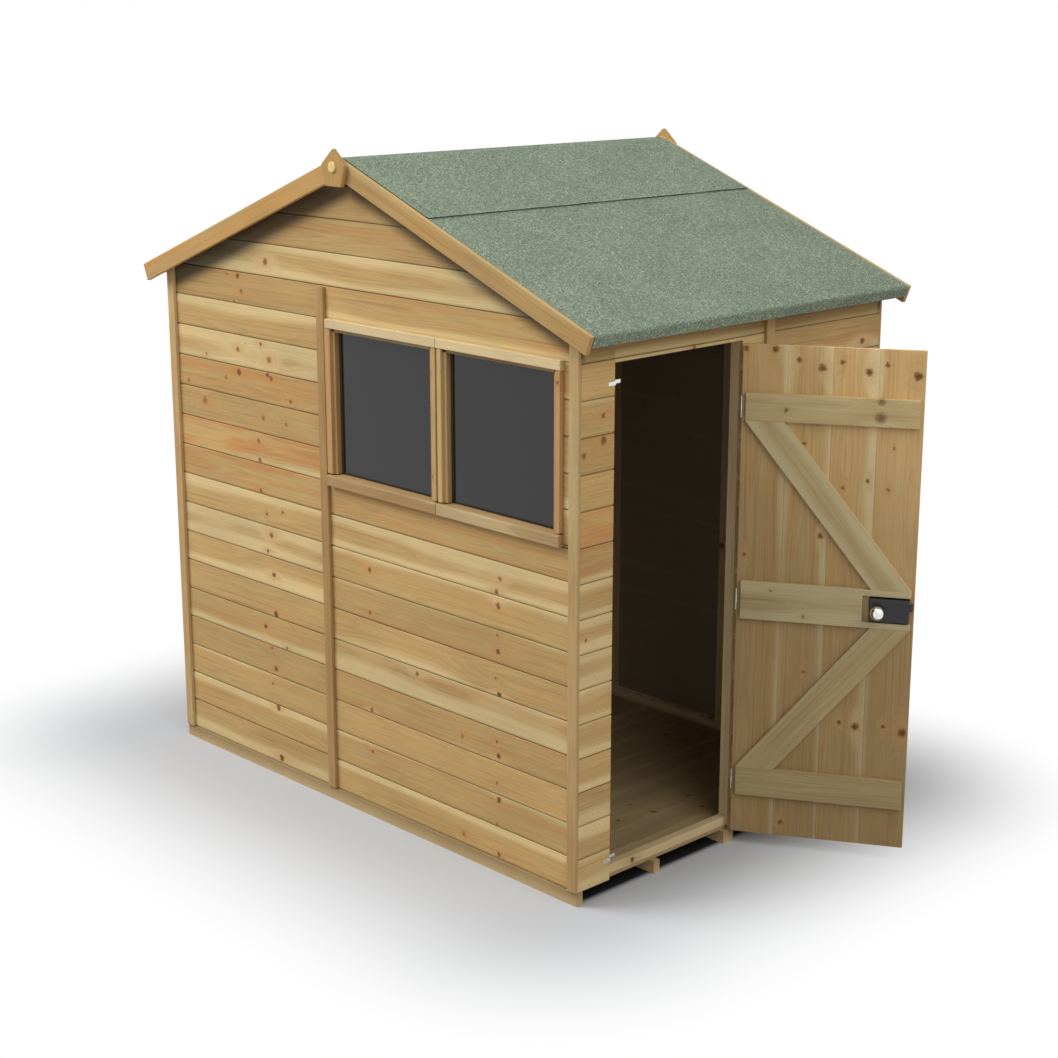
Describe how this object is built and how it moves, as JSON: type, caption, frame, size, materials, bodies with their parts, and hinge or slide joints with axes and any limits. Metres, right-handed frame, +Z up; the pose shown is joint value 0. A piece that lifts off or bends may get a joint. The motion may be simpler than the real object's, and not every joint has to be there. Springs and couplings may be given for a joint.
{
  "type": "wooden garden shed",
  "caption": "Timber garden shed with an apex felt roof, shiplap walls, a pair of fixed windows in the gable wall and a ledged and braced door in the side wall.",
  "frame": {"origin": "on the ground at the middle of the plan, under the middle floor bearer", "axes": "+X out of the door wall, along the gable walls; +Y from the window gable to the rear gable; +Z up"},
  "size_m": [2.719, 1.592, 2.2944],
  "materials": {
    "cladding_timber": "dipped softwood boards",
    "door_timber": "dipped softwood boards",
    "trim_timber": "planed softwood",
    "framing_timber": "sawn softwood",
    "verge_timber": "dipped softwood",
    "roof_felt": "mineral surfaced roofing felt",
    "window_glass": "clear glazing",
    "zinc_steel": "zinc plated",
    "lock_black": "black enamel",
    "lock_bright": "bright plated"
  },
  "bodies": {
    "shed": {"floor_bearers": "framing_timber", "floor_deck": "framing_timber", "door_threshold": "trim_timber", "front_left_panel": "cladding_timber", "front_sill_panel": "cladding_timber", "front_head_panel": "cladding_timber", "front_window_side_panels": "cladding_timber", "front_gable_panel": "cladding_timber", "rear_left_panel": "cladding_timber", "rear_right_panel": "cladding_timber", "rear_gable_panel": "cladding_timber", "left_wall_panel": "cladding_timber", "door_lock_side_panel": "cladding_timber", "door_hinge_side_panel": "cladding_timber", "door_head_panel": "cladding_timber", "right_far_panel": "cladding_timber", "gable_studs": "framing_timber", "gable_rails": "framing_timber", "side_studs": "framing_timber", "side_rails": "framing_timber", "corner_strips": "trim_timber", "joint_strips": "trim_timber", "window_stiles": "trim_timber", "window_rails": "trim_timber", "window_panes": "window_glass", "window_beads": "trim_timber", "left_roof_panel": "framing_timber", "right_roof_panel": "framing_timber", "roof_battens": "framing_timber", "left_roof_felt": "roof_felt", "right_roof_felt": "roof_felt", "ridge_felt": "roof_felt", "front_bargeboards": "verge_timber", "rear_bargeboards": "verge_timber", "finials": "verge_timber", "finial_buttons": "verge_timber", "door_stop_clips": "zinc_steel", "hinge_plates": "zinc_steel"},
    "door": {"door_boards": "door_timber", "door_ledges": "door_timber", "door_braces": "door_timber", "hinge_straps": "zinc_steel", "lock_case": "lock_black", "lock_rose": "lock_bright"},
    "knob": {"lock_knob": "lock_bright"},
    "latch": {"lock_latch": "lock_black"}
  },
  "joints": [
    {"name": "door_swing", "type": "hinge", "parent": "shed", "child": "door", "pos_m": [1.064, 0.002, 0.9], "axis": [0, 0, 1], "range_deg": [-121.3, 48.7]},
    {"name": "knob_turn", "type": "hinge", "parent": "door", "child": "knob", "pos_m": [1.48012, 0.20784, 0.867], "axis": [0.5195, -0.8545, 0], "range_deg": [0, 90]},
    {"name": "latch_slide", "type": "slide", "parent": "door", "child": "latch", "axis": [-0.8545, -0.5195, 0], "range_m": [0, 0.006]}
  ],
  "couplings": [
    {"joint": "latch_slide", "follows": "knob_turn", "m_per_rad": 0.0038}
  ]
}
